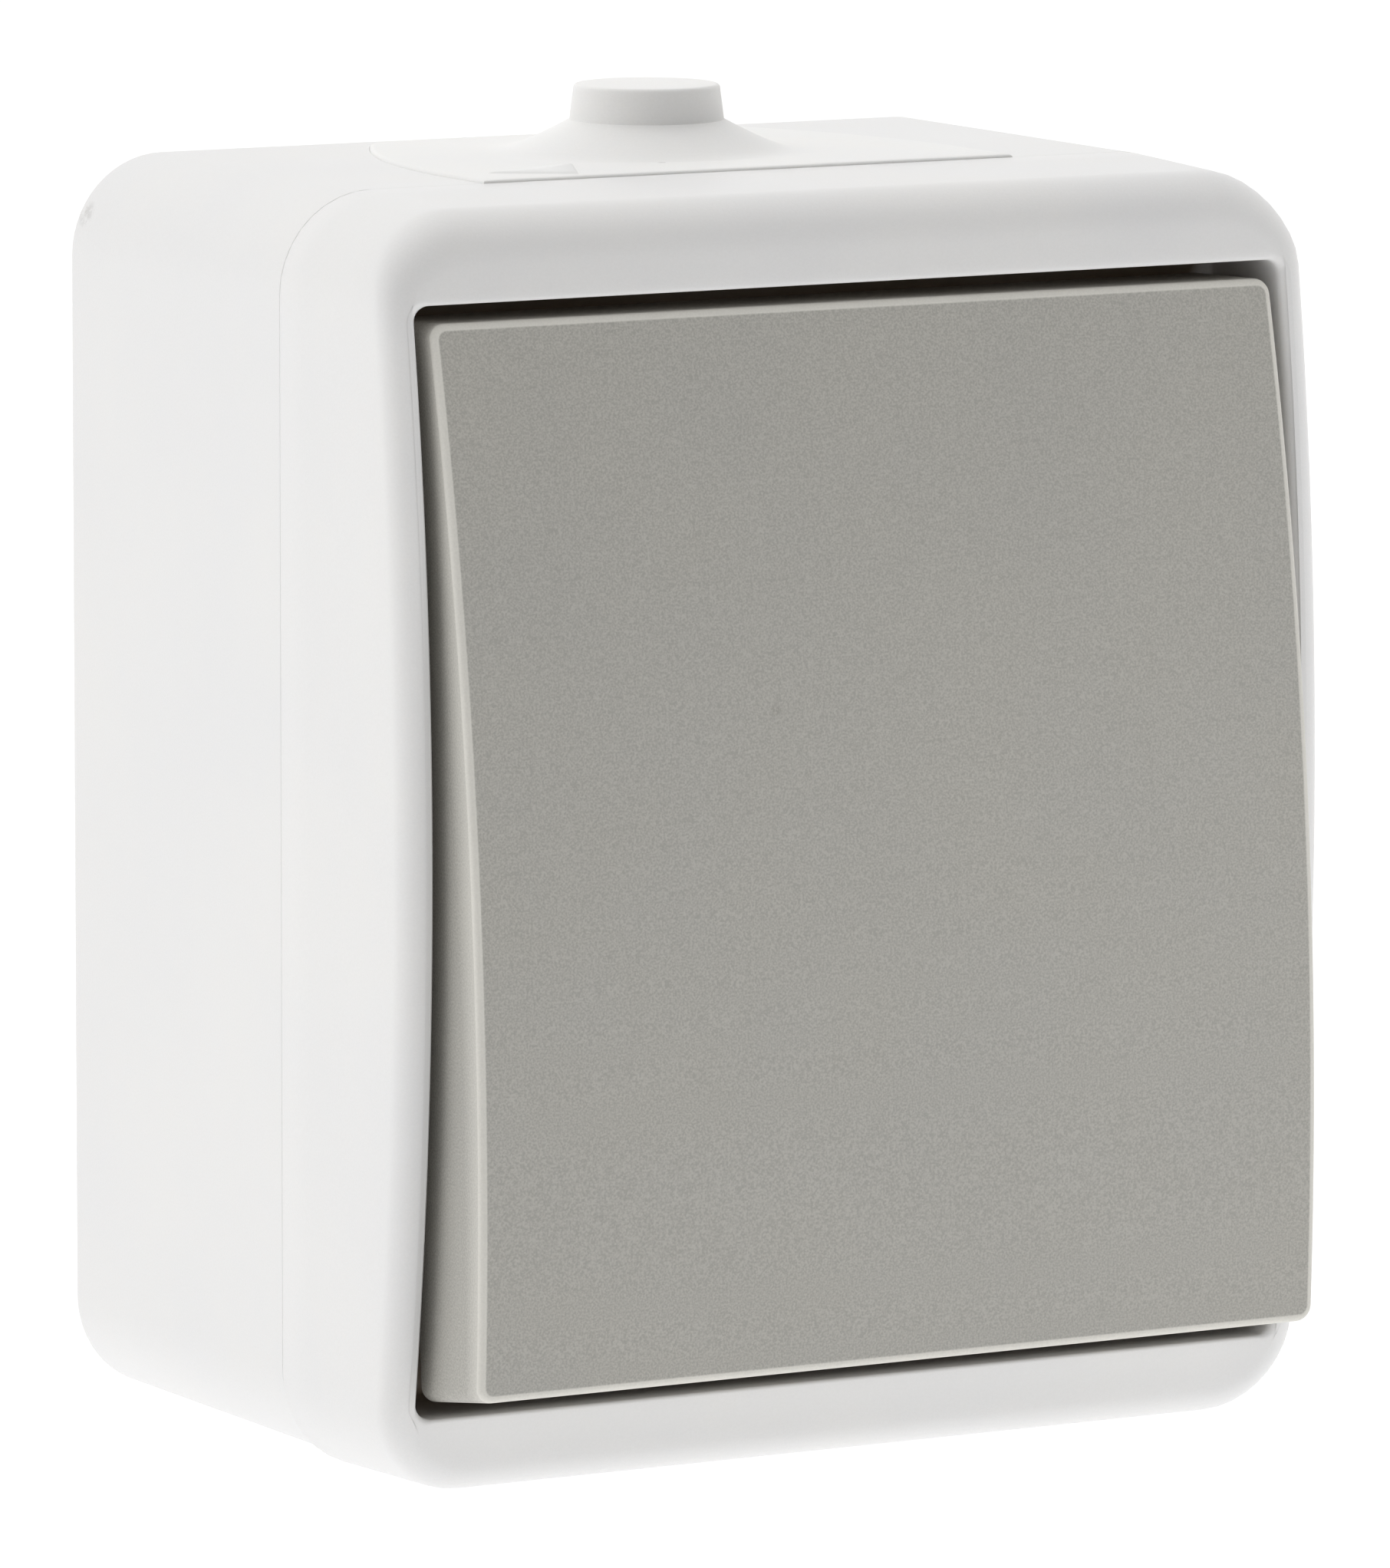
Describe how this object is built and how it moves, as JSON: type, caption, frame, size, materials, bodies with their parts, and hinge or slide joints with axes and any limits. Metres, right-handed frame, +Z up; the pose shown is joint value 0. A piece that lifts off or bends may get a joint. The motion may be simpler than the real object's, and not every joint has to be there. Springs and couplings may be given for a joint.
{
  "type": "outdoor weatherproof switch",
  "caption": "Weatherproof surface switch: white box with arched front frame, grey rocker that tips about a level hinge line, and a rubber cable membrane in the top.",
  "frame": {"origin": "centre of the box's back face, on the wall", "axes": "+Y into the wall, +Z up, +X to the right as the user sees it"},
  "size_m": [0.066, 0.0483, 0.0838],
  "materials": {
    "shell_white": "satin, fine moulded grain",
    "rocker_grey": "matt, fine spark-eroded grain",
    "membrane_rubber": "soft white rubber",
    "seal_rubber": "matt",
    "screw_steel": "zinc plated",
    "spring_steel": "drawn wire",
    "mechanism_plastic": "moulded",
    "carrier_plastic": "moulded",
    "strip_copper": "rolled copper alloy",
    "block_brass": "turned",
    "contact_silver": "silver alloy"
  },
  "bodies": {
    "housing": {"back_box": "shell_white", "cable_membrane": "membrane_rubber", "rim_seal": "seal_rubber", "front_frame": "shell_white", "frame_screws": "screw_steel", "screw_seals": "seal_rubber", "rocker_boot": "seal_rubber", "mechanism_base": "mechanism_plastic", "mechanism_cover": "mechanism_plastic", "mechanism_screws": "screw_steel", "common_terminal": "strip_copper", "switched_terminal": "strip_copper", "fixed_contact": "contact_silver", "terminal_blocks": "block_brass", "terminal_screws": "screw_steel"},
    "rocker": {"rocker": "rocker_grey", "rocker_carrier": "carrier_plastic", "plunger_spring": "spring_steel"},
    "plunger": {"plunger": "carrier_plastic"},
    "lever": {"contact_lever": "strip_copper", "moving_contact": "contact_silver"}
  },
  "joints": [
    {"name": "rocker_hinge", "type": "hinge", "parent": "housing", "child": "rocker", "pos_m": [0, -0.037, -0.0005], "axis": [1, 0, 0], "range_deg": [0, 10.8]},
    {"name": "plunger_slide", "type": "slide", "parent": "rocker", "child": "plunger", "axis": [0, -0.9956, 0.0941], "range_m": [0, 0.0006], "stiffness_N_per_m": 600, "springref_m": -0.002, "deforming": ["plunger_spring"]},
    {"name": "lever_rock", "type": "hinge", "parent": "housing", "child": "lever", "pos_m": [0, -0.018, -0.0005], "axis": [1, 0, 0], "range_deg": [-14.4, 0]}
  ],
  "couplings": [
    {"joint": "lever_rock", "follows": "rocker_hinge", "ratio": -1.3333}
  ]
}
